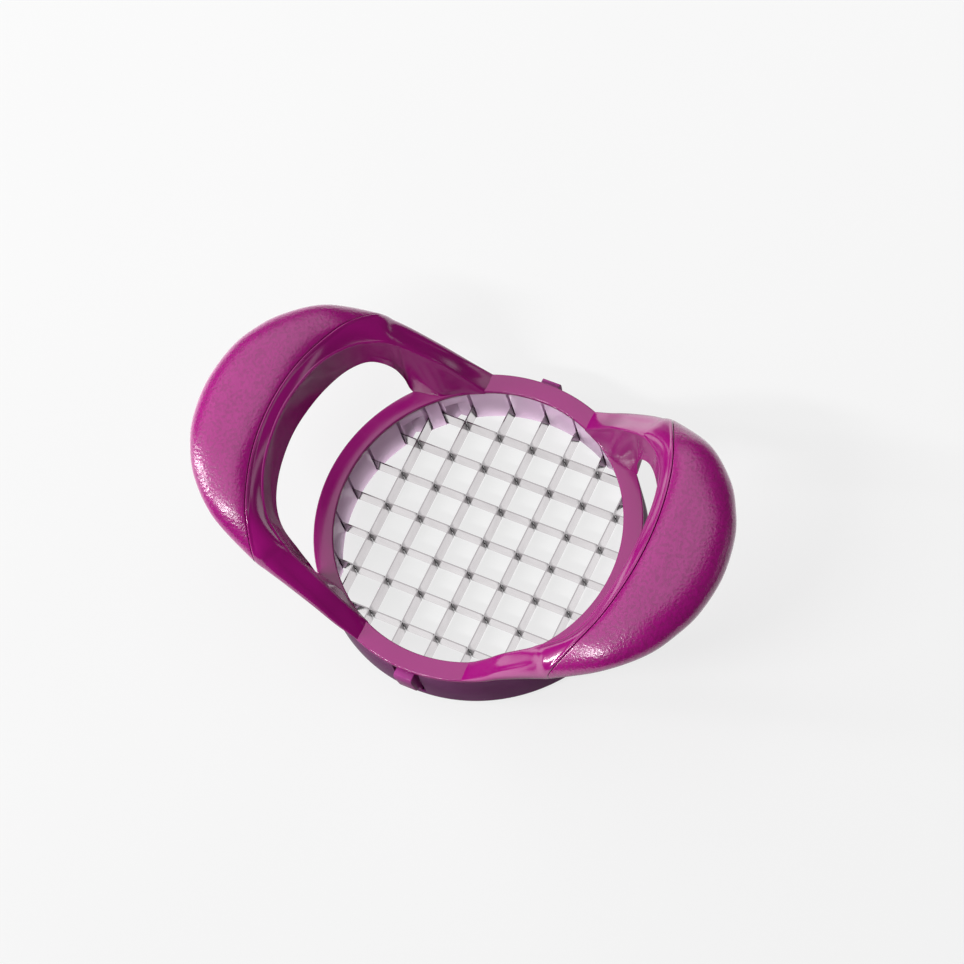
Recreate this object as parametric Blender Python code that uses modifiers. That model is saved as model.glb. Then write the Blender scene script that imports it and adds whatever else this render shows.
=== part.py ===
"""Hand-press grid slicer: crossed steel strips in a clear ring, under a frame with two raised loop handles.

The tool stands on z = 0 on its blade ring. The ring's axis is Z and the handles run along X.
"""

import math

import bmesh
import bpy
from mathutils import Vector

MM = 0.001

# Driving dimensions, in mm.
PITCH = 12.0
BLADES_PER_WAY = 7
BLADE_THICK = 0.4
BLADE_TALL = 7.4
BLADE_BASE = 0.9
GAP = 0.3

# Past the furthest point of the tool, and above its highest point.
BEYOND = 130.0
ABOVE = 90.0

RING_OUTER = 53.8
RING_WALL = 1.8
RING_INNER = 48.0
RING_INNER_WALL = 1.6
RING_FLOOR = 2.4
RING_ROUND = 2.8
SLOT_REACH = 51.2
CORNER_GAP = 1.0
EDGE = 0.3

RIM_TOP = 20.2
RIM_THICK = 1.5
RIM_INNER = 47.3
RIM_OUTER = 53.8
LIP_INNER = 49.9
LIP_OUTER = 50.9
LIP_BASE = 14.4

SEGMENTS = 96

# The latch tabs sit in windows of the ring's outer wall, on the Y axis.
TAB_HALF = 3.2
TAB_BASE = 4.4
TAB_LUG_BASE = 8.2
TAB_LUG_OUT = 56.4
TAB_HINGE = 5.0
TAB_SLOT = 1.6
TAB_INSET = 0.1
TAB_RAMP = 1.2
TAB_LEAN = 0.8
WINDOW_INNER = 50.5

# One half of the right handle, from the tip round to the fold at the rim. Each row is a section:
# the inner edge (x, y, z), the outer edge (x, y, z of its widest line), the inner wall's foot and the
# step in that wall (each: how far out from the inner edge, z), how far the outer edge goes on below
# its widest line, and the width and height of the rolled outer edge.
HANDLE_ROWS = (
    ((61.7, 0.0, 59.5), (90.5, 0.0, 57.2), (0.3, 42.4), (0.1, 50.5), 2.2, (12.0, 6.0)),
    ((61.1, 9.5, 58.7), (88.9, 12.5, 57.2), (-0.1, 42.6), (-0.1, 50.2), 2.2, (12.0, 6.0)),
    ((59.5, 18.4, 57.0), (85.5, 21.3, 57.0), (-0.9, 43.0), (-0.6, 49.0), 2.2, (12.0, 5.6)),
    ((56.6, 26.3, 54.2), (79.3, 30.8, 55.8), (-1.8, 43.3), (-1.2, 47.0), 2.4, (11.0, 4.8)),
    ((52.3, 32.6, 51.3), (68.1, 40.1, 53.8), (-2.6, 42.0), (-1.6, 45.0), 2.8, (8.0, 3.6)),
    ((46.5, 36.8, 48.6), (53.4, 45.9, 47.4), (-3.2, 36.5), (-1.9, 39.0), 4.4, (4.6, 3.8)),
    ((43.7, 38.0, 46.5), (47.9, 46.9, 44.0), (-3.4, 29.5), (-1.9, 33.5), 4.8, (3.8, 3.2)),
    ((41.0, 39.0, 44.0), (42.5, 47.6, 40.6), (-4.0, 19.6), (-2.3, 29.3), 5.0, (3.2, 2.6)),
    ((32.0, 41.2, 36.1), (33.0, 48.8, 32.6), (-4.5, 19.2), (-4.1, 22.6), 4.1, (2.2, 2.0)),
    ((25.0, 42.5, 27.6), (25.4, 49.8, 25.2), (-2.2, 19.1), (-1.5, 22.0), 3.2, (1.4, 1.2)),
    ((18.2, 43.4, 19.7), (18.0, 50.4, 19.6), (0.0, 19.0), (0.0, 19.4), 0.5, (0.3, 0.1)),
)
STATIONS_PER_ROW = 3
CROWN = 1.6
CROWN_FULL_WIDTH = 28.0
INNER_ROUND = 0.9

# The seam between frame and grip, seen from above, is x = SEAM_TIP - SEAM_BOW y^2 - SEAM_CURL y^4.
SEAM_TIP = 65.9
SEAM_BOW = 0.005575
SEAM_CURL = 4.81e-7
SEAM_HALF = 54.0
SEAM_STEPS = 12
TONGUE_IN = 2.0
TONGUE_OUT = 8.0
TONGUE_THICK = 2.4
TONGUE_LEVEL = 52.5
TONGUE_HALF = 28.0
TONGUE_TAPER = 0.08


def clear_scene():
    for obj in list(bpy.data.objects):
        bpy.data.objects.remove(obj, do_unlink=True)
    for collection in list(bpy.data.collections):
        bpy.data.collections.remove(collection)


def new_collection(name):
    collection = bpy.data.collections.new(name)
    bpy.context.scene.collection.children.link(collection)
    return collection


def new_material(name, colour, roughness, metallic=0.0, transmission=0.0):
    material = bpy.data.materials.new(name)
    material.use_nodes = True
    shader = material.node_tree.nodes["Principled BSDF"]
    shader.inputs["Base Color"].default_value = (*colour, 1.0)
    shader.inputs["Roughness"].default_value = roughness
    shader.inputs["Metallic"].default_value = metallic
    shader.inputs["Transmission Weight"].default_value = transmission
    material.diffuse_color = (*colour, 1.0)
    return material


def add_mesh(name, points, faces, collection, material=None, smooth=False):
    """A mesh object from points in mm."""
    mesh = bpy.data.meshes.new(name)
    mesh.from_pydata([Vector(p) * MM for p in points], [], faces)
    if smooth:
        mesh.shade_smooth()
    obj = bpy.data.objects.new(name, mesh)
    if material:
        mesh.materials.append(material)
    collection.objects.link(obj)
    return obj


def add_cutter(name, points, faces):
    obj = add_mesh(name, points, faces, cutters)
    obj.hide_render = True
    obj.display_type = "WIRE"
    return obj


def boolean(obj, other, operation):
    modifier = obj.modifiers.new(f"{operation.lower()} {other.name}", "BOOLEAN")
    modifier.operation = operation
    modifier.solver = "EXACT"
    modifier.object = other


def box(x0, x1, y0, y1, z0, z1):
    """Points and outward faces of a box."""
    points = [(x, y, z) for z in (z0, z1) for y in (y0, y1) for x in (x0, x1)]
    faces = [(0, 2, 3, 1), (4, 5, 7, 6), (0, 1, 5, 4), (2, 6, 7, 3), (0, 4, 6, 2), (1, 3, 7, 5)]
    return points, faces


def boxes(sizes):
    points = []
    faces = []
    for size in sizes:
        start = len(points)
        more, around = box(*size)
        points += more
        faces += [tuple(start + i for i in face) for face in around]
    return points, faces


def extruded(outline, z0, z1):
    """Points and outward faces of a counter-clockwise outline pulled up from z0 to z1."""
    count = len(outline)
    points = [(x, y, z0) for x, y in outline] + [(x, y, z1) for x, y in outline]
    faces = [tuple(reversed(range(count))), tuple(range(count, 2 * count))]
    faces += [(i, (i + 1) % count, count + (i + 1) % count, count + i) for i in range(count)]
    return points, faces


def lathed(name, profile, collection, material=None):
    """A ring from a closed (radius, z) profile that runs down its outer side."""
    mesh = bpy.data.meshes.new(name)
    points = [Vector((r, 0.0, z)) * MM for r, z in profile]
    count = len(points)
    mesh.from_pydata(points, [(i, (i + 1) % count) for i in range(count)], [])
    if material:
        mesh.materials.append(material)
    obj = bpy.data.objects.new(name, mesh)
    collection.objects.link(obj)
    screw = obj.modifiers.new("round", "SCREW")
    screw.axis = "Z"
    screw.angle = math.tau
    screw.steps = SEGMENTS
    screw.render_steps = SEGMENTS
    screw.use_merge_vertices = True
    screw.merge_threshold = 0.00001
    screw.use_smooth_shade = True
    return obj


def arc(centre, radius, start, end, steps):
    """Points round an arc, angles in degrees."""
    found = []
    for i in range(steps + 1):
        angle = math.radians(start + (end - start) * i / steps)
        found.append((centre[0] + radius * math.cos(angle), centre[1] + radius * math.sin(angle)))
    return found


def flat_row(row):
    inner, outer, foot, step, drop, roll = row
    return (*inner, *outer, *foot, *step, drop, *roll)


def smooth_rows(rows, per_row):
    """Catmull-Rom rows between the given ones, with the first mirrored in Y before it."""
    mirrored = list(rows[1])
    mirrored[1] = -mirrored[1]
    mirrored[4] = -mirrored[4]
    last = [2 * b - a for a, b in zip(rows[-2], rows[-1])]
    padded = [mirrored, *rows, last]
    found = []
    for k in range(1, len(padded) - 2):
        a, b, c, d = padded[k - 1 : k + 3]
        for i in range(per_row):
            t = i / per_row
            row = []
            for p, q, r, s in zip(a, b, c, d):
                bend = (2 * p - 5 * q + 4 * r - s) * t**2 + (3 * q - p - 3 * r + s) * t**3
                row.append(0.5 * (2 * q + (r - p) * t + bend))
            found.append(row)
    found.append(list(rows[-1]))
    return found


def section(row):
    """Points round one section of the handle, from the inner foot up, over and back underneath."""
    ix, iy, iz, ox, oy, oz, foot_out, foot_z, step_out, step_z, drop, roll, rise = row
    across = Vector((ox - ix, oy - iy))
    width = across.length
    way = across / width
    inner_round = min(INNER_ROUND, 0.3 * (iz - foot_z))
    under = min(0.8 * drop, 0.3 * width)
    outline = [(foot_out, foot_z), (step_out, step_z)]
    outline += arc((inner_round, iz - inner_round), inner_round, 180, 90, 2)
    flat = width - roll
    crown = CROWN * min(1.0, width / CROWN_FULL_WIDTH)
    for i in range(1, 6):
        u = i / 6
        level = iz + (oz + rise - iz) * u * (2 - u) + 4 * crown * u * (1 - u) ** 2
        outline.append((inner_round + (flat - inner_round) * u, level))
    for along, up in arc((0, 0), 1, 90, 0, 7):
        outline.append((flat + roll * along, oz + rise * up))
    for along, up in arc((0, 0), 1, -22.5, -90, 3):
        outline.append((width - under + under * along, oz + drop * up))
    outline.append(((width + foot_out) / 2 - under / 2, (foot_z + oz - drop) / 2))
    return [(ix + way.x * u, iy + way.y * u, z) for u, z in outline]


def handle_loft(side):
    """Points and faces of one whole loop handle, side +1 on +X and -1 on -X."""
    half = smooth_rows([flat_row(row) for row in HANDLE_ROWS], STATIONS_PER_ROW)
    rows = []
    for row in half[:0:-1]:
        other = list(row)
        other[1] = -other[1]
        other[4] = -other[4]
        rows.append(other)
    rows += half
    rings = [section(row) for row in rows]
    count = len(rings[0])
    points = [(side * x, y, z) for ring in rings for x, y, z in ring]
    faces = [tuple(range(count)), tuple(reversed(range(len(points) - count, len(points))))]
    for k in range(len(rings) - 1):
        for i in range(count):
            j = (i + 1) % count
            faces.append((k * count + i, (k + 1) * count + i, (k + 1) * count + j, k * count + j))
    if side < 0:
        faces = [tuple(reversed(face)) for face in faces]
    return points, faces


def seam_line(half, steps):
    """Points (x, y) along the seam of the right handle, from -half to half in y."""
    across = [half * (2 * i / steps - 1) for i in range(steps + 1)]
    return [(SEAM_TIP - SEAM_BOW * y**2 - SEAM_CURL * y**4, y) for y in across]


def outside_seam(side, shift, z0, z1):
    """The region on the grip's side of the seam, moved out by shift."""
    outline = [(BEYOND, SEAM_HALF)]
    outline += [(x + shift, y) for x, y in reversed(seam_line(SEAM_HALF, 2 * SEAM_STEPS))]
    outline += [(BEYOND, -SEAM_HALF)]
    if side < 0:
        outline = [(-x, y) for x, y in reversed(outline)]
    return extruded(outline, z0, z1)


def tongue(side, grow):
    """The crescent tongue of the frame that the grip is pushed onto, grown all round by grow."""
    line = seam_line(TONGUE_HALF, SEAM_STEPS // 2)
    widen = [grow * y / TONGUE_HALF for x, y in line]
    inner = [(x - TONGUE_IN, y + more) for (x, y), more in zip(line, widen)]
    outer = [(x + TONGUE_OUT + grow - TONGUE_TAPER * abs(y), y + more) for (x, y), more in zip(line, widen)]
    outline = list(reversed(inner)) + outer
    if side < 0:
        outline = [(-x, y) for x, y in reversed(outline)]
    thick = TONGUE_THICK / 2 + grow
    return extruded(outline, TONGUE_LEVEL - thick, TONGUE_LEVEL + thick)


def recalc(obj):
    """Turns every face outward."""
    bm = bmesh.new()
    bm.from_mesh(obj.data)
    bmesh.ops.recalc_face_normals(bm, faces=bm.faces)
    bm.to_mesh(obj.data)
    bm.free()


def make_frame():
    rim = lathed(
        "frame",
        [
            (RIM_OUTER - EDGE, RIM_TOP),
            (RIM_OUTER, RIM_TOP - EDGE),
            (RIM_OUTER, RIM_TOP - RIM_THICK),
            (LIP_OUTER, RIM_TOP - RIM_THICK),
            (LIP_OUTER, LIP_BASE),
            (LIP_INNER, LIP_BASE),
            (LIP_INNER, RIM_TOP - RIM_THICK),
            (RIM_INNER, RIM_TOP - RIM_THICK),
            (RIM_INNER, RIM_TOP - EDGE),
            (RIM_INNER + EDGE, RIM_TOP),
        ],
        parts,
        purple,
    )
    for side, name in ((1, "right"), (-1, "left")):
        arms = add_cutter(f"arms {name}", *handle_loft(side))
        recalc(arms)
        outside = add_cutter(f"outside {name}", *outside_seam(side, -GAP, 0.0, ABOVE))
        recalc(outside)
        boolean(arms, outside, "DIFFERENCE")
        held = add_cutter(f"tongue {name}", *tongue(side, 0.0))
        recalc(held)
        boolean(arms, held, "UNION")
        boolean(rim, arms, "UNION")
    return rim


def make_grip(side, name):
    obj = add_mesh(name, *handle_loft(side), parts, satin, smooth=True)
    recalc(obj)
    region = add_cutter(f"region {name}", *outside_seam(side, 0.0, 0.0, ABOVE))
    recalc(region)
    boolean(obj, region, "INTERSECT")
    pocket = add_cutter(f"pocket {name}", *tongue(side, GAP))
    recalc(pocket)
    boolean(obj, pocket, "DIFFERENCE")
    return obj


def chord(radius, offset):
    return math.sqrt(radius**2 - offset**2)


def blade_offsets():
    middle = (BLADES_PER_WAY - 1) / 2
    return [(k - middle) * PITCH for k in range(BLADES_PER_WAY)]


def half_length(offset):
    """Half of a strip's length. The outermost strips stop short of each other behind the inner wall."""
    outermost = blade_offsets()[-1]
    if abs(offset) == outermost:
        return outermost - CORNER_GAP
    return chord(SLOT_REACH, offset)


def make_ring():
    inner_out = RING_INNER + RING_INNER_WALL
    top = RIM_TOP - RIM_THICK - GAP
    profile = [
        (RING_OUTER, top),
        *arc((RING_OUTER - RING_ROUND, RING_ROUND), RING_ROUND, 0, -90, 5),
        (RING_INNER + EDGE, 0.0),
        (RING_INNER, EDGE),
        (RING_INNER, top - EDGE),
        (RING_INNER + EDGE, top),
        (inner_out, top),
        (inner_out, RING_FLOOR),
        (RING_OUTER - RING_WALL, RING_FLOOR),
        (RING_OUTER - RING_WALL, top),
    ]
    ring = lathed("blade_ring", profile, parts, clear_violet)
    base = BLADE_BASE - GAP
    half = BLADE_THICK / 2 + GAP
    along_x = []
    along_y = []
    for offset in blade_offsets():
        reach = half_length(offset) + GAP
        along_x.append((-reach, reach, offset - half, offset + half, base, ABOVE))
        along_y.append((offset - half, offset + half, -reach, reach, base, ABOVE))
    boolean(ring, add_cutter("slots x", *boxes(along_x)), "DIFFERENCE")
    boolean(ring, add_cutter("slots y", *boxes(along_y)), "DIFFERENCE")
    windows = []
    for side in (1, -1):
        near, far = sorted((side * WINDOW_INNER, side * BEYOND))
        windows.append((-TAB_HALF - TAB_SLOT, TAB_HALF + TAB_SLOT, near, far, TAB_BASE - GAP, ABOVE))
    boolean(ring, add_cutter("windows", *boxes(windows)), "DIFFERENCE")
    return ring


def make_blade(name, offset, along_x):
    """A strip on edge. The strips along X are slotted from above, the strips along Y from below."""
    half = half_length(offset)
    low, high = BLADE_BASE, BLADE_BASE + BLADE_TALL
    middle = (low + high) / 2
    notch = BLADE_THICK / 2 + GAP
    crossings = [u for u in blade_offsets() if abs(u) < half]
    outline = [(-half, low)]
    if not along_x:
        for u in crossings:
            depth = middle + GAP / 2
            outline += [(u - notch, low), (u - notch, depth), (u + notch, depth), (u + notch, low)]
    outline += [(half, low), (half, high)]
    if along_x:
        for u in reversed(crossings):
            depth = middle - GAP / 2
            outline += [(u + notch, high), (u + notch, depth), (u - notch, depth), (u - notch, high)]
    outline.append((-half, high))
    points, faces = extruded(outline, offset - BLADE_THICK / 2, offset + BLADE_THICK / 2)
    if along_x:
        points = [(u, w, v) for u, v, w in points]
    else:
        points = [(w, u, v) for u, v, w in points]
    blade = add_mesh(name, points, faces, parts, steel)
    recalc(blade)
    return blade


def make_tab(side, name):
    """A springy latch tab with an outer lug. Its origin is on the line where it bends."""
    top = RIM_TOP - RIM_THICK - 2 * GAP
    inside = RING_OUTER - RING_WALL + TAB_INSET
    profile = [
        (inside, TAB_BASE),
        (RING_OUTER - TAB_INSET, TAB_BASE),
        (RING_OUTER - TAB_INSET, TAB_LUG_BASE - TAB_RAMP),
        (TAB_LUG_OUT - TAB_LEAN, TAB_LUG_BASE),
        (TAB_LUG_OUT, top - TAB_RAMP),
        (TAB_LUG_OUT, top - EDGE),
        (TAB_LUG_OUT - EDGE, top),
        (inside, top),
    ]
    hinge = Vector((0.0, side * (inside + RING_WALL / 2), TAB_HINGE))
    count = len(profile)
    points = []
    for x in (-TAB_HALF, TAB_HALF):
        points += [(x, side * r - hinge.y, z - hinge.z) for r, z in profile]
    faces = [tuple(range(count)), tuple(reversed(range(count, 2 * count)))]
    faces += [(i, count + i, count + (i + 1) % count, (i + 1) % count) for i in range(count)]
    tab = add_mesh(name, points, faces, parts, clear_violet_tab)
    recalc(tab)
    tab.location = hinge * MM
    return tab


clear_scene()
parts = new_collection("egg_slicer")
cutters = new_collection("cutters")
cutters.hide_render = True

purple = new_material("purple_gloss", (0.26, 0.03, 0.15), 0.15)
satin = new_material("purple_grip", (0.36, 0.06, 0.24), 0.45)
clear_violet = new_material("clear_violet", (0.55, 0.35, 0.6), 0.08, transmission=0.8)
clear_violet_tab = new_material("clear_violet_tab", (0.5, 0.2, 0.45), 0.12, transmission=0.5)
steel = new_material("polished_steel", (0.75, 0.75, 0.76), 0.12, metallic=1.0)

make_frame()
make_grip(1, "grip_right")
make_grip(-1, "grip_left")
make_ring()
for number, place in enumerate(blade_offsets(), start=1):
    make_blade(f"blade_x{number}", place, True)
    make_blade(f"blade_y{number}", place, False)
make_tab(-1, "latch_tab_front")
make_tab(1, "latch_tab_back")
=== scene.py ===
"""The looks of the grid egg slicer: a glossy frame, two grips, a clear violet ring and steel strips.

Lengths are in millimetres until they reach a mesh. The tool stands on z = 0, its ring's axis is Z and its
handles run along X.
"""

import math

import bmesh
import bpy
from mathutils import Matrix, Quaternion, Vector


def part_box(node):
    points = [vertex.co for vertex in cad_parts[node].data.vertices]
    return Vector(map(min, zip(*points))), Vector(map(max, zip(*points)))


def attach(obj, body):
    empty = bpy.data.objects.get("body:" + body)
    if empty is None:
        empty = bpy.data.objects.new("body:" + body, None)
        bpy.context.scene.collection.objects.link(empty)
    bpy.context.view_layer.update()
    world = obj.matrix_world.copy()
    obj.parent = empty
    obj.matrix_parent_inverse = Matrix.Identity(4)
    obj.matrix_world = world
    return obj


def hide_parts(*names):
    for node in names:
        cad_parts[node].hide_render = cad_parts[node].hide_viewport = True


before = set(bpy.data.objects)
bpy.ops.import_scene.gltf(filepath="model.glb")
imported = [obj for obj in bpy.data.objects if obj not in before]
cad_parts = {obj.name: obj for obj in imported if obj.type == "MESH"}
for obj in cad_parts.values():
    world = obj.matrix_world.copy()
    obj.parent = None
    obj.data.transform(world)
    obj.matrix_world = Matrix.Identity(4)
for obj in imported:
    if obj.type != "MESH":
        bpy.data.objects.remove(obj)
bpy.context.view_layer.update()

MM = 0.001

# Driving sizes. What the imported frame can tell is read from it.
RING_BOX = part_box("blade_ring")
BLADE_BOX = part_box("blade_x4")
TAB_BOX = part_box("latch_tab_back")
RING_OUTER = RING_BOX[1].x / MM
RING_TOP = RING_BOX[1].z / MM
BLADE_BASE = BLADE_BOX[0].z / MM
PITCH = 12.0
BLADES_PER_WAY = 7
GAP = 0.3
# How far a cutter reaches past the surface it cuts.
CUT_PAST = 1.0

RING_WALL = 1.8
RING_INNER = 48.0
RING_INNER_WALL = 1.6
RING_FLOOR = 2.4
RING_ROUND = 2.8
RING_EDGE_ROUND = 0.25
RING_FOOT_ROUND = 0.3
SKIRT_FROM = 51.0
SLOT_WIDTH = 1.0
SLOT_REACH = 51.2
SLOT_START = 1.5
CORNER_GAP = 1.0
POCKET_ROOT = 50.3
POCKET_WALL = 1.1
POST_ROOT = 0.6
POST_SINK = 0.5
# How wide a post is at its root and its shoulder, and its hollow, as shares of the pocket's angle.
POST_SHARES = (0.96, 0.9)
HOLLOW_SHARE = 0.86
POST_TOP = 14.0
TAB_HALF = 3.2
TAB_SLOT = 1.6
TAB_BASE = 4.4
TAB_LUG_BASE = 8.2
TAB_SINK = 0.1
TAB_BEVEL = 0.3
# The lug: how far its underside slopes, how far its foot stands back, where its flat outer face starts and
# ends below the top, and how far its top edge stands back.
LUG_SLOPE = 1.2
LUG_FOOT_BACK = 0.8
LUG_FACE = (2.6, 1.3)
LUG_TOP_BACK = 0.5
WINDOW_INNER = 50.5
WINDOW_PAST = 4.0

RIM_TOP = 20.2
RIM_THICK = 1.5
RIM_INNER = 47.3
LIP_INNER = 49.9
LIP_OUTER = 50.9
LIP_BASE = 14.4
LIP_CORNER = 0.2
RIM_OUTER_ROUND = 0.5
RIM_UNDER_ROUND = 0.25
RIM_INNER_ROUND = 0.45

# One half of the right handle, from the tip round to the fold at the rim. Each row is a section:
# the inner edge (x, y, z), the outer edge (x, y, z of its widest line), the inner wall's foot and the
# step in that wall (each: how far out from the inner edge, z), how far the outer edge goes on below
# its widest line, and the width and height of the rolled outer edge.
HANDLE_ROWS = (
    ((61.7, 0.0, 59.5), (90.5, 0.0, 57.2), (0.3, 42.4), (0.1, 50.5), 2.2, (12.0, 6.0)),
    ((61.1, 9.5, 58.7), (88.9, 12.5, 57.2), (-0.1, 42.6), (-0.1, 50.2), 2.2, (12.0, 6.0)),
    ((59.5, 18.4, 57.0), (85.5, 21.3, 57.0), (-0.9, 43.0), (-0.6, 49.0), 2.2, (12.0, 5.6)),
    ((56.6, 26.3, 54.2), (79.3, 30.8, 55.8), (-1.8, 43.3), (-1.2, 47.0), 2.4, (11.0, 4.8)),
    ((52.3, 32.6, 51.3), (68.1, 40.1, 53.8), (-2.6, 42.0), (-1.6, 45.0), 2.8, (8.0, 3.6)),
    ((46.5, 36.8, 48.6), (53.4, 45.9, 47.4), (-3.2, 36.5), (-1.9, 39.0), 4.4, (4.6, 3.8)),
    ((43.7, 38.0, 46.5), (47.9, 46.9, 44.0), (-3.4, 29.5), (-1.9, 33.5), 4.8, (3.8, 3.2)),
    ((41.0, 39.0, 44.0), (42.5, 47.6, 40.6), (-4.0, 19.6), (-2.3, 29.3), 5.0, (3.2, 2.6)),
    ((32.0, 41.2, 36.1), (33.0, 48.8, 32.6), (-4.5, 19.2), (-4.1, 22.6), 4.1, (2.2, 2.0)),
    ((25.0, 42.5, 27.6), (25.4, 49.8, 25.2), (-2.2, 19.1), (-1.5, 22.0), 3.2, (1.4, 1.2)),
    ((18.2, 43.4, 19.7), (18.0, 50.4, 19.6), (0.0, 19.0), (0.0, 19.4), 0.5, (0.3, 0.1)),
)
CROWN = 1.6
CROWN_FULL_WIDTH = 28.0
INNER_ROUND = 0.9
# The inner top edge's round is at most this share of the wall, and the underside's curve at most these
# shares of the drop and the width.
INNER_ROUND_SHARE = 0.3
UNDER_DROP_SHARE = 0.8
UNDER_WIDTH_SHARE = 0.3
# The grip ends where the outer edge is less than this past the seam.
LEAST_GRIP = 0.06
ROW_STATIONS = 10
SEAM_ROW = 5
SEAM_STATIONS = 24

# The seam between frame and grip, seen from above, is x = SEAM_TIP - SEAM_BOW y^2 - SEAM_CURL y^4.
SEAM_TIP = 65.9
SEAM_BOW = 0.005575
SEAM_CURL = 4.81e-7
SEAM_GAP = 0.16
SEAM_FADE = 1.6
FRAME_FILLET = 0.45
GRIP_FILLET = 0.3
BEAD_RISE = 0.3
BEAD_WIDTH = 0.8
BEAD_SHARES = (0.0, 0.25, 0.5, 0.75)
FILLET_ANGLES = (0.0, 22.5, 45.0, 67.5, 90.0)

# How finely the round and long stretches are divided.
SEGMENTS = 192
TOP_STEPS = 40
ROLL_STEPS = 32
UNDER_STEPS = 16
WALL_STEPS = 6
FRAME_TOP_STEPS = 24
FRAME_UNDER_STEPS = 18
GRIP_TOP_STEPS = 40
GRIP_UNDER_STEPS = 26


# Mesh helpers.


def add_mesh(name, points, faces):
    """A mesh object from points in mm, with its doubles merged and its faces turned outward."""
    mesh = bpy.data.meshes.new(name)
    mesh.from_pydata([Vector(p) * MM for p in points], [], faces)
    bm = bmesh.new()
    bm.from_mesh(mesh)
    bmesh.ops.remove_doubles(bm, verts=bm.verts, dist=0.002 * MM)
    bmesh.ops.dissolve_degenerate(bm, edges=bm.edges, dist=0.001 * MM)
    bmesh.ops.recalc_face_normals(bm, faces=bm.faces)
    bm.to_mesh(mesh)
    bm.free()
    obj = bpy.data.objects.new(name, mesh)
    bpy.context.scene.collection.objects.link(obj)
    return obj


def arc(centre, radii, start, end, steps):
    """Points round an arc, angles in degrees. radii is one radius or one each way."""
    wide, tall = radii if isinstance(radii, tuple) else (radii, radii)
    found = []
    for i in range(steps + 1):
        angle = math.radians(start + (end - start) * i / steps)
        found.append((centre[0] + wide * math.cos(angle), centre[1] + tall * math.sin(angle)))
    return found


def turned(name, profile):
    """A ring from a closed (radius, z) profile."""
    count = len(profile)
    points = []
    for k in range(SEGMENTS):
        angle = math.tau * k / SEGMENTS
        points += [(r * math.cos(angle), r * math.sin(angle), z) for r, z in profile]
    faces = []
    for k in range(SEGMENTS):
        a, b = k * count, (k + 1) % SEGMENTS * count
        faces += [(a + i, b + i, b + (i + 1) % count, a + (i + 1) % count) for i in range(count)]
    return add_mesh(name, points, faces)


def extruded(name, outline, z0, z1):
    count = len(outline)
    points = [(x, y, z0) for x, y in outline] + [(x, y, z1) for x, y in outline]
    faces = [tuple(reversed(range(count))), tuple(range(count, 2 * count))]
    faces += [(i, (i + 1) % count, count + (i + 1) % count, count + i) for i in range(count)]
    return add_mesh(name, points, faces)


def box(name, x0, x1, y0, y1, z0, z1):
    return extruded(name, [(x0, y0), (x1, y0), (x1, y1), (x0, y1)], z0, z1)


def combine(obj, others, operation):
    """Applies one Boolean per other object, then removes it."""
    for other in others:
        modifier = obj.modifiers.new(operation, "BOOLEAN")
        modifier.operation = operation
        modifier.solver = "EXACT"
        modifier.object = other
        bake_modifiers(obj)
        bpy.data.objects.remove(other)


def bake_modifiers(obj):
    graph = bpy.context.evaluated_depsgraph_get()
    mesh = bpy.data.meshes.new_from_object(obj.evaluated_get(graph))
    obj.modifiers.clear()
    obj.data = mesh


def smooth(obj, angle=35.0):
    obj.data.shade_smooth()
    obj.data.set_sharp_from_angle(angle=math.radians(angle))


# The handles.


def flat_row(row):
    inner, outer, foot, step, drop, roll = row
    return (*inner, *outer, *foot, *step, drop, *roll)


def mirrored(row):
    other = list(row)
    other[1] = -other[1]
    other[4] = -other[4]
    return other


def fine_rows():
    """Catmull-Rom rows of the whole loop, with more of them where the seam meets the outer edge."""
    rows = [flat_row(row) for row in HANDLE_ROWS]
    last = [2 * b - a for a, b in zip(rows[-2], rows[-1])]
    padded = [mirrored(rows[1]), *rows, last]
    half = []
    for k in range(1, len(padded) - 2):
        a, b, c, d = padded[k - 1 : k + 3]
        count = SEAM_STATIONS if k - 1 == SEAM_ROW else ROW_STATIONS
        for i in range(count):
            t = i / count
            row = []
            for p, q, r, s in zip(a, b, c, d):
                bend = (2 * p - 5 * q + 4 * r - s) * t**2 + (3 * q - p - 3 * r + s) * t**3
                row.append(0.5 * (2 * q + (r - p) * t + bend))
            half.append(row)
    half.append(list(rows[-1]))
    return [mirrored(row) for row in half[:0:-1]] + half


def seam_distance(x, y):
    """How far a point seen from above is past the seam, on the grip's side."""
    slope = 2 * SEAM_BOW * y + 4 * SEAM_CURL * y**3
    return (x - SEAM_TIP + SEAM_BOW * y**2 + SEAM_CURL * y**4) / math.hypot(1.0, slope)


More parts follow.
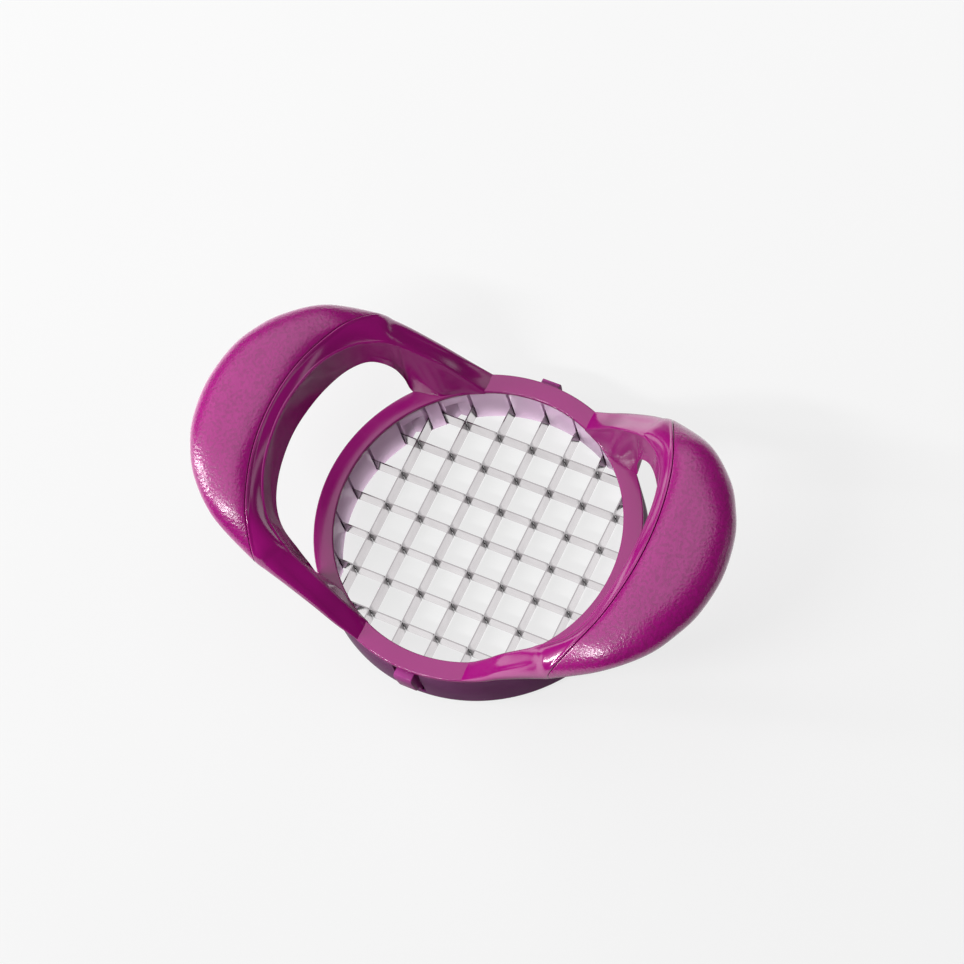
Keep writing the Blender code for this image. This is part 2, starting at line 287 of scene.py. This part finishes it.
class Section:
    """One section of the handle: its top, its underside and its inner wall, as (out, z) points."""

    def __init__(self, row):
        ix, iy, iz, ox, oy, oz, foot_out, foot_z, step_out, step_z, drop, roll, rise = row
        self.inner = (ix, iy)
        self.width = math.hypot(ox - ix, oy - iy)
        self.way = ((ox - ix) / self.width, (oy - iy) / self.width)
        around = min(INNER_ROUND, INNER_ROUND_SHARE * (iz - foot_z))
        flat = self.width - roll
        crown = 4 * CROWN * min(1.0, self.width / CROWN_FULL_WIDTH)
        self.top = []
        for u in even(TOP_STEPS):
            level = iz + (oz + rise - iz) * u * (2 - u) + crown * u * (1 - u) ** 2
            self.top.append((around + (flat - around) * u, level))
        self.top += arc((flat, oz), (roll, rise), 90, 0, ROLL_STEPS)[1:]
        under = min(UNDER_DROP_SHARE * drop, UNDER_WIDTH_SHARE * self.width)
        self.under = arc((self.width - under, oz), (under, drop), 0, -90, UNDER_STEPS)
        self.under.append((foot_out, foot_z))
        self.wall = spread([(foot_out, foot_z), (step_out, step_z)], even(WALL_STEPS))
        self.wall += spread([(step_out, step_z), (0.0, iz - around)], even(WALL_STEPS))[1:]
        self.wall += arc((around, iz - around), around, 180, 90, 7)[1:]
        self.edge = seam_distance(ox, oy)

    def plan(self, out):
        return self.inner[0] + self.way[0] * out, self.inner[1] + self.way[1] * out

    def out_at(self, distance):
        """How far out the section is at this distance past the seam."""
        low, high = 0.0, self.width
        for _ in range(40):
            middle = (low + high) / 2
            if seam_distance(*self.plan(middle)) < distance:
                low = middle
            else:
                high = middle
        return (low + high) / 2

    def points(self, outline):
        return [(*self.plan(out), z) for out, z in outline]


def even(count):
    return [i / count for i in range(count + 1)]


def spread(outline, shares):
    """Points on an outline at these shares of its length."""
    lengths = [0.0]
    for a, b in zip(outline, outline[1:]):
        lengths.append(lengths[-1] + math.dist(a, b))
    found = []
    k = 0
    for share in shares:
        at = share * lengths[-1]
        while k < len(outline) - 2 and lengths[k + 1] < at:
            k += 1
        span = lengths[k + 1] - lengths[k]
        t = (at - lengths[k]) / span if span > 1e-9 else 0.0
        a, b = outline[k], outline[k + 1]
        found.append((a[0] + (b[0] - a[0]) * t, a[1] + (b[1] - a[1]) * t))
    return found


def height_at(outline, out):
    """The outline's z at this distance out. The outline goes one way in out."""
    for a, b in zip(outline, outline[1:]):
        if min(a[0], b[0]) - 1e-9 <= out <= max(a[0], b[0]) + 1e-9 and abs(b[0] - a[0]) > 1e-9:
            return a[1] + (b[1] - a[1]) * (out - a[0]) / (b[0] - a[0])
    nearest = min(outline, key=lambda p: abs(p[0] - out))
    return nearest[1]


def part_of(outline, out0, out1):
    """The stretch of an outline between two distances out, in the outline's own order."""
    low, high = sorted((out0, out1))
    inside = [p for p in outline if low + 1e-6 < p[0] < high - 1e-6]
    return [(out0, height_at(outline, out0)), *inside, (out1, height_at(outline, out1))]


def frame_section(section):
    """The frame's part of a section: underside, inner wall, top and the rounded edge at the seam."""
    limit = min(-SEAM_GAP, section.edge)
    fade = min(1.0, max(0.0, (section.edge + SEAM_GAP) / SEAM_FADE))
    radius = FRAME_FILLET * fade
    rise = BEAD_RISE * fade
    bead = []
    for share in BEAD_SHARES:
        out = section.out_at(limit - FRAME_FILLET - BEAD_WIDTH * (1 - share))
        bead.append((out, height_at(section.top, out) + rise * share**2 * (3 - 2 * share)))
    fillet = []
    for angle in reversed(FILLET_ANGLES):
        back = FRAME_FILLET * (1 - math.cos(math.radians(angle)))
        out = section.out_at(limit - back)
        z = height_at(section.top, out) + rise - radius * (1 - math.sin(math.radians(angle)))
        fillet.append((out, z))
    cut = fillet[-1][0]
    if section.edge > -SEAM_GAP:
        under = part_of(section.under, cut, section.under[-1][0])
    else:
        under = section.under
    top = part_of(section.top, section.top[0][0], bead[0][0])
    outline = spread(under, even(FRAME_UNDER_STEPS)) + section.wall[1:]
    outline += spread(top, even(FRAME_TOP_STEPS))[1:] + bead[1:] + fillet
    return section.points(outline)


def grip_section(section):
    """The grip's part of a section: top from the seam, rolled edge, underside and the wall at the seam."""
    radius = min(GRIP_FILLET, 0.5 * section.edge)
    fillet = []
    for angle in FILLET_ANGLES:
        out = section.out_at(radius * (1 - math.cos(math.radians(angle))))
        z = height_at(section.top, out) - radius * (1 - math.sin(math.radians(angle)))
        fillet.append((out, z))
    top = part_of(section.top, fillet[-1][0], section.top[-1][0])
    under = part_of(section.under, section.under[0][0], fillet[0][0])
    low = [(fillet[0][0], under[-1][1] + radius)]
    under[-1] = (section.out_at(radius), height_at(section.under, section.out_at(radius)))
    outline = fillet + spread(top, even(GRIP_TOP_STEPS))[1:]
    outline += spread(under, even(GRIP_UNDER_STEPS))[1:] + low
    return section.points(outline)


def loft(name, rings, side):
    """A closed body through rings of points, mirrored in X for the left side."""
    count = len(rings[0])
    points = [(side * x, y, z) for ring in rings for x, y, z in ring]
    faces = [tuple(range(count)), tuple(range(len(points) - count, len(points)))]
    for k in range(len(rings) - 1):
        a, b = k * count, (k + 1) * count
        faces += [(a + i, b + i, b + (i + 1) % count, a + (i + 1) % count) for i in range(count)]
    return add_mesh(name, points, faces)


def make_frame():
    """The one-piece frame: a flat rim with a lip below it and a loop arm to each side."""
    base = RIM_TOP - RIM_THICK
    corner = LIP_CORNER
    outer, under, inner = RIM_OUTER_ROUND, RIM_UNDER_ROUND, RIM_INNER_ROUND
    profile = arc((RING_OUTER - outer, RIM_TOP - outer), outer, 90, 0, 5)
    profile += arc((RING_OUTER - under, base + under), under, 0, -90, 3)
    profile += [(LIP_OUTER, base), (LIP_OUTER, LIP_BASE + corner), (LIP_OUTER - corner, LIP_BASE)]
    profile += [(LIP_INNER + corner, LIP_BASE), (LIP_INNER, LIP_BASE + corner), (LIP_INNER, base)]
    profile += arc((RIM_INNER + corner, base + corner), corner, -90, -180, 3)
    profile += arc((RIM_INNER + inner, RIM_TOP - inner), inner, 180, 90, 5)
    shell = turned("frame_shell", profile)
    rings = [frame_section(section) for section in sections]
    combine(shell, [loft(f"arm_{side}", rings, side) for side in (1, -1)], "UNION")
    smooth(shell, 32.0)
    return shell


def make_grip(side, name):
    rings = [grip_section(section) for section in sections if section.edge > LEAST_GRIP]
    grip = loft(name, rings, side)
    smooth(grip, 40.0)
    return grip


# The ring.


def chord(radius, offset):
    return math.sqrt(radius**2 - offset**2)


def blade_offsets():
    middle = (BLADES_PER_WAY - 1) / 2
    return [(k - middle) * PITCH for k in range(BLADES_PER_WAY)]


def pockets():
    """The angles, in radians, between which the wall is drawn out into a V: two in each quadrant."""
    near, far = 2 * PITCH, 3 * PITCH
    half = SLOT_WIDTH / 2
    start = math.atan2(near + half, chord(RING_INNER, near))
    end = math.atan2(chord(RING_INNER, far), far + half)
    found = []
    for quarter in range(4):
        turn = quarter * math.pi / 2
        found.append((turn + start, turn + end))
        found.append((turn + math.pi / 2 - end, turn + math.pi / 2 - start))
    return found


def polar(radius, angle):
    return radius * math.cos(angle), radius * math.sin(angle)


def make_ring():
    """The clear ring: outer skirt, floor and the inner wall that holds the strips."""
    inner_out = RING_INNER + RING_INNER_WALL
    skirt_in = RING_OUTER - RING_WALL
    edge, foot = RING_EDGE_ROUND, RING_FOOT_ROUND
    profile = arc((RING_OUTER - edge, RING_TOP - edge), edge, 90, 0, 3)
    profile += arc((RING_OUTER - RING_ROUND, RING_ROUND), RING_ROUND, 0, -90, 9)
    profile += arc((RING_INNER + foot, foot), foot, -90, -180, 3)
    profile += arc((RING_INNER + edge, RING_TOP - edge), edge, 180, 90, 3)
    profile += [(inner_out, RING_TOP), (inner_out, RING_FLOOR)]
    profile += [(skirt_in, RING_FLOOR), (skirt_in, RING_TOP)]
    ring = turned("ring_shell", profile)
    posts = []
    hollows = []
    for k, (start, end) in enumerate(pockets()):
        middle = (start + end) / 2
        wide = (end - start) / 2
        root, shoulder = (wide * share for share in POST_SHARES)
        back = [
            polar(RING_INNER + POST_ROOT, middle - root),
            polar(inner_out, middle - shoulder),
            polar(POCKET_ROOT + POCKET_WALL, middle),
            polar(inner_out, middle + shoulder),
            polar(RING_INNER + POST_ROOT, middle + root),
        ]
        posts.append(extruded(f"post_{k}", back, RING_FLOOR - POST_SINK, POST_TOP))
        mouth = wide * HOLLOW_SHARE
        front = [
            polar(RING_INNER - CUT_PAST, middle - mouth),
            polar(RING_INNER, middle - mouth),
            polar(POCKET_ROOT, middle),
            polar(RING_INNER, middle + mouth),
            polar(RING_INNER - CUT_PAST, middle + mouth),
        ]
        hollows.append(extruded(f"hollow_{k}", front, -CUT_PAST, POST_TOP - POCKET_WALL))
    combine(ring, posts, "UNION")
    combine(ring, hollows, "DIFFERENCE")
    half = SLOT_WIDTH / 2
    base = BLADE_BASE - GAP
    slots = []
    outermost = blade_offsets()[-1]
    for u in blade_offsets():
        reach = chord(SLOT_REACH, u) if abs(u) < outermost else outermost - CORNER_GAP
        start = chord(RING_INNER, u) - SLOT_START
        for side in (1, -1):
            near, far = sorted((side * start, side * (reach + GAP)))
            slots.append(box("slot", near, far, u - half, u + half, base, RIM_TOP))
            slots.append(box("slot", u - half, u + half, near, far, base, RIM_TOP))
    for side in (1, -1):
        near, far = sorted((side * WINDOW_INNER, side * (RING_OUTER + WINDOW_PAST)))
        wide = TAB_HALF + TAB_SLOT
        slots.append(box("window", -wide, wide, near, far, TAB_BASE - GAP, RIM_TOP))
    combine(ring, slots, "DIFFERENCE")
    smooth(ring, 30.0)
    return ring


def make_tab(side, name):
    """A latch tab: a flat tongue in the skirt's window with a lug whose outer face leans in."""
    reach = TAB_BOX[1].y / MM
    top = TAB_BOX[1].z / MM
    inside = TAB_BOX[0].y / MM
    skin = RING_OUTER - TAB_SINK
    profile = [
        (inside, TAB_BASE),
        (skin, TAB_BASE),
        (skin, TAB_LUG_BASE - LUG_SLOPE),
        (reach - LUG_FOOT_BACK, TAB_LUG_BASE),
        (reach, top - LUG_FACE[0]),
        (reach, top - LUG_FACE[1]),
        (reach - LUG_TOP_BACK, top),
        (inside, top),
    ]
    count = len(profile)
    points = [(x, side * r, z) for x in (-TAB_HALF, TAB_HALF) for r, z in profile]
    faces = [tuple(range(count)), tuple(range(count, 2 * count))]
    faces += [(i, count + i, count + (i + 1) % count, (i + 1) % count) for i in range(count)]
    tab = add_mesh(name, points, faces)
    bevel = tab.modifiers.new("edges", "BEVEL")
    bevel.width = TAB_BEVEL * MM
    bevel.segments = 3
    bevel.limit_method = "ANGLE"
    bake_modifiers(tab)
    smooth(tab)
    return tab


# Materials.

# Distances along a strip, in mm from a crossing, between which its painted shade fades out.
CROSSING_SHADE = (0.6, 1.6)

# The floor's glow: its mean and how much it rises over TABLE_SPAN metres along Y, the light it gives to
# matt surfaces inside and outside the ring, and what glossy surfaces mirror near the tool and far from it.
TABLE_GLOW = 0.77
TABLE_SLOPE = 0.05
TABLE_SPAN = 0.3
TABLE_INSIDE = 2.0
TABLE_FILL = 0.25
TABLE_NEAR = 0.12
TABLE_FAR = 1.8
# Distances from the ring's axis, in metres, over which the last two pairs change.
FILL_RADII = (RING_INNER * MM, RING_INNER * MM + 0.004)
SHEEN_RADII = (0.06, 0.12)


class Surface:
    """A Principled material with small helpers for its nodes."""

    def __init__(self, name):
        self.material = bpy.data.materials.new(name)
        self.material.use_nodes = True
        self.tree = self.material.node_tree
        self.shader = self.tree.nodes["Principled BSDF"]
        self.place = self.add("ShaderNodeTexCoord").outputs["Object"]

    def add(self, kind, **settings):
        node = self.tree.nodes.new(kind)
        for key, value in settings.items():
            setattr(node, key, value)
        return node

    def join(self, output, socket):
        self.tree.links.new(output, socket)

    def set(self, **values):
        for key, value in values.items():
            self.shader.inputs[key.replace("_", " ")].default_value = value

    def stretch(self, scale):
        node = self.add("ShaderNodeMapping")
        self.join(self.place, node.inputs["Vector"])
        node.inputs["Scale"].default_value = scale
        return node.outputs["Vector"]

    def noise(self, size, detail=3.0, place=None):
        """A noise whose features are about size mm across."""
        node = self.add("ShaderNodeTexNoise")
        self.join(place or self.place, node.inputs["Vector"])
        node.inputs["Scale"].default_value = 1.0 / (size * MM)
        node.inputs["Detail"].default_value = detail
        return node.outputs["Fac"]

    def ranged(self, value, low, high, out_low, out_high):
        node = self.add("ShaderNodeMapRange")
        self.join(value, node.inputs["Value"])
        limits = {"From Min": low, "From Max": high, "To Min": out_low, "To Max": out_high}
        for socket, number in limits.items():
            node.inputs[socket].default_value = number
        return node.outputs["Result"]

    def math(self, operation, a, b):
        node = self.add("ShaderNodeMath", operation=operation)
        for socket, value in zip(node.inputs, (a, b)):
            if isinstance(value, float):
                socket.default_value = value
            else:
                self.join(value, socket)
        return node.outputs["Value"]

    def between(self, factor, first, second):
        """A mix of two colours, each a colour or another node's output."""
        node = self.add("ShaderNodeMix", data_type="RGBA")
        self.join(factor, node.inputs["Factor"])
        sockets = [s for s in node.inputs if s.type == "RGBA"]
        for socket, value in zip(sockets, (first, second)):
            if isinstance(value, tuple):
                socket.default_value = (*value, 1.0)
            else:
                self.join(value, socket)
        return [s for s in node.outputs if s.type == "RGBA"][0]

    def bump(self, height, depth, strength=1.0, under=None):
        """Bump whose height of 1 stands for depth mm."""
        node = self.add("ShaderNodeBump")
        node.inputs["Strength"].default_value = strength
        node.inputs["Distance"].default_value = depth * MM
        self.join(height, node.inputs["Height"])
        if under:
            self.join(under, node.inputs["Normal"])
        return node.outputs["Normal"]


def purple_gloss():
    """Glossy moulded plastic: faint flow clouds, a soft sheen of handling and very fine scratches."""
    s = Surface("purple_gloss")
    clouds = s.ranged(s.noise(34.0, 4.0), 0.3, 0.7, 0.0, 1.0)
    colour = s.between(clouds, (0.235, 0.0025, 0.126), (0.262, 0.003, 0.142))
    s.join(colour, s.shader.inputs["Base Color"])
    wiped = s.noise(9.0, 5.0)
    scratches = s.noise(1.1, 2.0, s.stretch((0.08, 1.0, 1.0)))
    wear = s.ranged(wiped, 0.3, 0.75, 0.13, 0.19)
    rough = s.math("ADD", wear, s.ranged(scratches, 0.62, 0.8, 0.0, 0.07))
    s.join(rough, s.shader.inputs["Roughness"])
    waves = s.bump(s.noise(18.0, 0.0), 0.012, 0.25)
    s.join(s.bump(scratches, 0.004, 0.4, waves), s.shader.inputs["Normal"])
    s.set(IOR=1.55)
    return s.material


def purple_grip():
    """Satin soft plastic with a fine leather-like grain whose low spots are painted darker as shade."""
    s = Surface("purple_grip")
    clouds = s.ranged(s.noise(26.0, 4.0), 0.3, 0.7, 0.0, 1.0)
    body = s.between(clouds, (0.26, 0.003, 0.142), (0.29, 0.0042, 0.158))
    pebbles = s.noise(0.95, 1.5)
    fine = s.noise(0.45, 1.0)
    # Painted shade: the grain's low spots get a darker colour.
    valley_shade = s.ranged(pebbles, 0.38, 0.56, 0.55, 0.0)
    s.join(s.between(valley_shade, body, (0.16, 0.002, 0.085)), s.shader.inputs["Base Color"])
    wear = s.ranged(s.noise(12.0, 4.0), 0.3, 0.7, 0.22, 0.27)
    rough = s.math("ADD", wear, s.ranged(pebbles, 0.35, 0.65, 0.05, -0.04))
    s.join(rough, s.shader.inputs["Roughness"])
    height = s.math("ADD", pebbles, s.math("MULTIPLY", fine, 0.4))
    s.join(s.bump(height, 0.10, 1.0), s.shader.inputs["Normal"])
    s.set(IOR=1.55)
    return s.material


def clear_violet():
    """Clear violet plastic with faint flow waves and a lightly rubbed skin."""
    s = Surface("clear_violet")
    clouds = s.ranged(s.noise(20.0, 3.0), 0.3, 0.7, 0.0, 1.0)
    s.join(s.between(clouds, (0.95, 0.66, 0.91), (0.98, 0.74, 0.95)), s.shader.inputs["Base Color"])
    s.join(s.ranged(s.noise(5.0, 4.0), 0.3, 0.7, 0.05, 0.14), s.shader.inputs["Roughness"])
    s.join(s.bump(s.noise(6.0, 2.0), 0.04, 0.4), s.shader.inputs["Normal"])
    s.set(IOR=1.49, Transmission_Weight=0.3)
    return s.material


def darkened_violet(name, low, high):
    """A darker, nearly opaque copy of the clear violet: painted shade on the skirt, a plainly darker tint
    on the lugs.
    """
    s = Surface(name)
    clouds = s.ranged(s.noise(16.0, 3.0), 0.3, 0.7, 0.0, 1.0)
    s.join(s.between(clouds, low, high), s.shader.inputs["Base Color"])
    s.join(s.ranged(s.noise(5.0, 4.0), 0.3, 0.7, 0.08, 0.18), s.shader.inputs["Roughness"])
    s.join(s.bump(s.noise(7.0, 2.0), 0.03, 0.4), s.shader.inputs["Normal"])
    s.set(IOR=1.49, Transmission_Weight=0.12, Specular_IOR_Level=0.12)
    return s.material


def steel():
    """Rolled stainless strip for each way, with its grain along it and a painted shade towards each
    crossing.
    """
    found = {}
    for way, scale in (("x", (0.03, 1.0, 1.0)), ("y", (1.0, 0.03, 1.0))):
        s = Surface(f"steel_{way}")
        grain = s.noise(0.22, 3.0, s.stretch(scale))
        stains = s.ranged(s.noise(7.0, 4.0), 0.35, 0.7, 0.0, 1.0)
        sheet = s.between(stains, (0.275, 0.258, 0.265), (0.235, 0.218, 0.225))
        facing = s.add("ShaderNodeSeparateXYZ")
        s.join(s.add("ShaderNodeTexCoord").outputs["Normal"], facing.inputs["Vector"])
        edge = s.ranged(s.math("ABSOLUTE", facing.outputs["Z"], 0.0), 0.3, 0.6, 0.0, 1.0)
        along = s.add("ShaderNodeSeparateXYZ")
        s.join(s.place, along.inputs["Vector"])
        crossing = s.math("PINGPONG", along.outputs[way.upper()], PITCH * MM / 2)
        start, end = (distance * MM for distance in CROSSING_SHADE)
        # Painted shade: the strip's faces turn dark near each crossing, where two strips meet.
        shade = s.ranged(crossing, start, end, 0.8, 0.0)
        shade = s.math("MULTIPLY", shade, s.ranged(s.noise(1.4, 2.0), 0.2, 0.8, 1.0, 0.9))
        sides = s.between(shade, sheet, (0.045, 0.04, 0.043))
        s.join(s.between(edge, sides, (0.30, 0.28, 0.29)), s.shader.inputs["Base Color"])
        s.join(s.ranged(grain, 0.3, 0.7, 0.10, 0.22), s.shader.inputs["Roughness"])
        s.join(s.bump(grain, 0.006, 0.5), s.shader.inputs["Normal"])
        s.set(Metallic=1.0)
        found[way] = s.material
    return found


def floor_material():
    """A pale light table. It glows with one strength for the camera and for what is seen through plastic,
    one for the light it sends to matt surfaces, and one for what glossy surfaces mirror."""
    s = Surface("light_table")
    colour = s.between(s.noise(180.0, 2.0), (0.10, 0.10, 0.10), (0.12, 0.12, 0.12))
    s.join(colour, s.shader.inputs["Base Color"])
    path = s.add("ShaderNodeLightPath")
    split = s.add("ShaderNodeSeparateXYZ")
    s.join(s.place, split.inputs["Vector"])
    low, high = TABLE_GLOW - TABLE_SLOPE, TABLE_GLOW + TABLE_SLOPE
    glow = s.ranged(split.outputs["Y"], -TABLE_SPAN, TABLE_SPAN, low, high)
    away = s.add("ShaderNodeVectorMath", operation="LENGTH")
    s.join(s.place, away.inputs["Vector"])
    sheen = s.ranged(away.outputs["Value"], *SHEEN_RADII, TABLE_NEAR, TABLE_FAR)
    fill = s.ranged(away.outputs["Value"], *FILL_RADII, TABLE_INSIDE, TABLE_FILL)
    lit = s.math("MULTIPLY", path.outputs["Is Diffuse Ray"], s.math("SUBTRACT", fill, glow))
    mirrored_ray = s.math("MULTIPLY", path.outputs["Is Glossy Ray"], path.outputs["Is Reflection Ray"])
    seen = s.math("MULTIPLY", mirrored_ray, s.math("SUBTRACT", sheen, glow))
    s.join(s.math("ADD", glow, s.math("ADD", lit, seen)), s.shader.inputs["Emission Strength"])
    s.set(Roughness=0.8, Specular_IOR_Level=0.1, Emission_Color=(1.0, 1.0, 1.0, 1.0))
    return s.material


def finish_piece(obj, materials, body, slot, *nodes):
    """Gives a piece its materials and its body; its slot is not used. A second material goes on the
    skirt's faces.
    """
    obj.data.materials.clear()
    for material in materials:
        obj.data.materials.append(material)
    for face in obj.data.polygons:
        outside = math.hypot(face.center.x, face.center.y) > SKIRT_FROM * MM
        face.material_index = int(outside and len(materials) > 1)
    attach(obj, body)
    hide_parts(*nodes)


# The studio.

FLOOR_HALF = 4000.0
FLOOR_DROP = 0.0001
UNDER_HEIGHT = 0.0004
UNDER_MARGIN = 0.5
UNDER_RADIANCE = 1.30
WORLD_COLOUR = (0.98, 0.98, 1.0, 1.0)
WORLD_STRENGTH = 0.06

# The camera's place and what it looks at in metres, its roll in degrees, and its lens and sensor in mm.
CAMERA_PLACE = (0.324446, -0.311012, 0.965442)
CAMERA_AIM = (-0.0016, 0.0107, 0.0300)
CAMERA_ROLL = -21.5725
CAMERA_LENS = 121.594
CAMERA_SENSOR = 36.0


def softbox(name, place, aim, width, height, radiance, along=(0.0, 0.0, 1.0)):
    """A soft light of this radiance, at place and turned to aim, in metres. Its height runs near along."""
    light = bpy.data.lights.new(name, "AREA")
    light.shape = "RECTANGLE"
    light.size = width
    light.size_y = height
    light.energy = radiance * math.pi * width * height
    obj = bpy.data.objects.new(name, light)
    obj.location = place
    obj.rotation_mode = "QUATERNION"
    back = (Vector(place) - Vector(aim)).normalized()
    wide = Vector(along).cross(back).normalized()
    obj.rotation_quaternion = Matrix((wide, back.cross(wide), back)).transposed().to_quaternion()
    bpy.context.scene.collection.objects.link(obj)
    return obj


def under_light():
    """The light table seen in the strips: a disc under the grid that only the strips reflect.

    The disc has less area than the rectangle that softbox reckons with, so it is 4 / pi times as bright.
    """
    wide = 2 * (RING_INNER - UNDER_MARGIN) * MM
    place, aim, along = (0.0, 0.0, UNDER_HEIGHT), (0.0, 0.0, 1.0), (0.0, 1.0, 0.0)
    light = softbox("under", place, aim, wide, wide, UNDER_RADIANCE, along)
    light.data.shape = "DISK"
    light.visible_camera = False
    light.visible_diffuse = False
    receivers = bpy.data.collections.new("strips")
    for node in strips.values():
        receivers.objects.link(node)
    light.light_linking.receiver_collection = receivers


def make_studio():
    """The floor, a large soft light from above, two narrow ones for the grips' streaks and a weak fill."""
    half = FLOOR_HALF
    corners = [(-half, -half, 0), (half, -half, 0), (half, half, 0), (-half, half, 0)]
    floor = add_mesh("floor", corners, [(0, 1, 2, 3)])
    floor.data.materials.append(floor_material())
    floor.location.z = -FLOOR_DROP
    softbox("overhead", (-0.44, 0.21, 0.95), (0.0, 0.0, 0.03), 1.75, 1.50, 1.5)
    softbox("strip", (-0.31, -0.58, 0.76), (0.0, 0.0, 0.05), 0.06, 0.48, 75.0, (0.46, -0.07, 0.15))
    softbox("side", (-0.84, -0.35, 0.38), (0.0, 0.0, 0.05), 0.06, 0.50, 60.0, (0.23, -0.14, 0.42))
    softbox("fill", (0.85, 0.42, 0.36), (0.0, 0.0, 0.03), 0.40, 0.16, 1.5)
    under_light()
    world = bpy.data.worlds.new("studio")
    world.use_nodes = True
    background = world.node_tree.nodes["Background"]
    background.inputs["Color"].default_value = WORLD_COLOUR
    background.inputs["Strength"].default_value = WORLD_STRENGTH
    bpy.context.scene.world = world
    bpy.context.scene.view_settings.view_transform = "Standard"


def make_camera():
    data = bpy.data.cameras.new("camera")
    data.lens = CAMERA_LENS
    data.sensor_width = CAMERA_SENSOR
    data.clip_start = 0.02
    data.clip_end = 20.0
    camera = bpy.data.objects.new("camera", data)
    camera.location = CAMERA_PLACE
    roll = Quaternion((0.0, 0.0, 1.0), math.radians(CAMERA_ROLL))
    camera.rotation_mode = "QUATERNION"
    camera.rotation_quaternion = (Vector(CAMERA_AIM) - camera.location).to_track_quat("-Z", "Y") @ roll
    bpy.context.scene.collection.objects.link(camera)
    bpy.context.scene.camera = camera


sections = [Section(row) for row in fine_rows()]
strips = {name: node for name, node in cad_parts.items() if name[:7] in ("blade_x", "blade_y")}
gloss = purple_gloss()
satin = purple_grip()
violet = clear_violet()
# Painted shade: the skirt is a dark, nearly opaque copy of the clear violet, for the shade seen through
# its wall.
skirt = darkened_violet("violet_skirt_shade", (0.13, 0.017, 0.10), (0.17, 0.028, 0.135))
lug = darkened_violet("violet_lug", (0.30, 0.030, 0.20), (0.34, 0.040, 0.23))
steels = steel()

finish_piece(make_frame(), [gloss], "frame", "purple_gloss", "frame")
finish_piece(make_grip(1, "grip_right_skin"), [satin], "frame", "purple_grip", "grip_right")
finish_piece(make_grip(-1, "grip_left_skin"), [satin], "frame", "purple_grip", "grip_left")
finish_piece(make_ring(), [violet, skirt], "ring", "clear_violet", "blade_ring")
finish_piece(make_tab(-1, "latch_lug_front"), [lug], "latch_front", "clear_violet", "latch_tab_front")
finish_piece(make_tab(1, "latch_lug_back"), [lug], "latch_back", "clear_violet", "latch_tab_back")
for name, node in strips.items():
    node.data.materials.clear()
    node.data.materials.append(steels[name[len("blade_")]])

make_studio()
make_camera()
